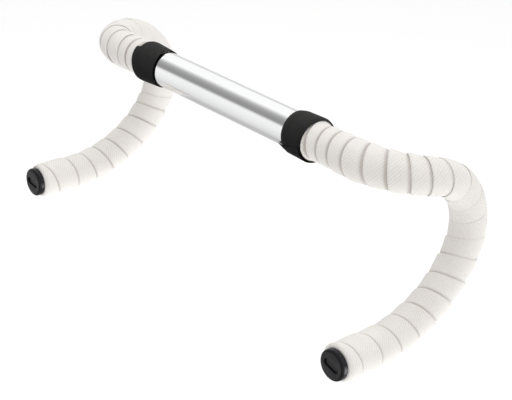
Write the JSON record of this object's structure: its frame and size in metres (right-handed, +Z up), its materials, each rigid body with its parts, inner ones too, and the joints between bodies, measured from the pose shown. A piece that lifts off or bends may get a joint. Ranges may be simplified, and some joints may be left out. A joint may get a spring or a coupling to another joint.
{
  "type": "drop handlebar",
  "caption": "Drop handlebar: bent alloy tube, wound padded tape on both halves, black finishing tape and expanding end plugs.",
  "frame": {"origin": "middle of the stem clamp, on the tube's axis", "axes": "+X rider's right along the tube, +Y forward, +Z up"},
  "size_m": [0.4528, 0.167, 0.17],
  "materials": {
    "alloy": "polished",
    "bar_tape": "matt padded tape",
    "finishing_tape": "matt",
    "plug_plastic": "satin moulded",
    "wedge_metal": "plain"
  },
  "bodies": {
    "bar": {"handlebar_tube": "alloy", "bar_tape_right": "bar_tape", "bar_tape_left": "bar_tape", "finishing_tape_right": "finishing_tape", "finishing_tape_left": "finishing_tape"},
    "plug_right": {"plug_body_right": "plug_plastic"},
    "screw_right": {"expansion_screw_right": "plug_plastic"},
    "wedge_right": {"wedge_nut_right": "wedge_metal"},
    "plug_left": {"plug_body_left": "plug_plastic"},
    "screw_left": {"expansion_screw_left": "plug_plastic"},
    "wedge_left": {"wedge_nut_left": "wedge_metal"}
  },
  "joints": [
    {"name": "plug_pull_right", "type": "slide", "parent": "bar", "child": "plug_right", "axis": [0.0218, -0.999, 0.0401], "range_m": [0, 0.032]},
    {"name": "screw_turn_right", "type": "hinge", "parent": "plug_right", "child": "screw_right", "pos_m": [0.21014, -0.06889, -0.13353], "axis": [0.0218, -0.999, 0.0401], "range_deg": [0, 1080]},
    {"name": "wedge_slide_right", "type": "slide", "parent": "plug_right", "child": "wedge_right", "axis": [-0.0218, 0.999, -0.0401], "range_m": [0, 0.0031]},
    {"name": "plug_pull_left", "type": "slide", "parent": "bar", "child": "plug_left", "axis": [-0.0218, -0.999, 0.0401], "range_m": [0, 0.032]},
    {"name": "screw_turn_left", "type": "hinge", "parent": "plug_left", "child": "screw_left", "pos_m": [-0.21014, -0.06889, -0.13353], "axis": [-0.0218, -0.999, 0.0401], "range_deg": [0, 1080]},
    {"name": "wedge_slide_left", "type": "slide", "parent": "plug_left", "child": "wedge_left", "axis": [0.0218, 0.999, -0.0401], "range_m": [0, 0.0031]}
  ],
  "couplings": [
    {"joint": "wedge_slide_right", "follows": "screw_turn_right", "m_per_rad": 0.00015915},
    {"joint": "wedge_slide_left", "follows": "screw_turn_left", "m_per_rad": 0.00015915}
  ]
}
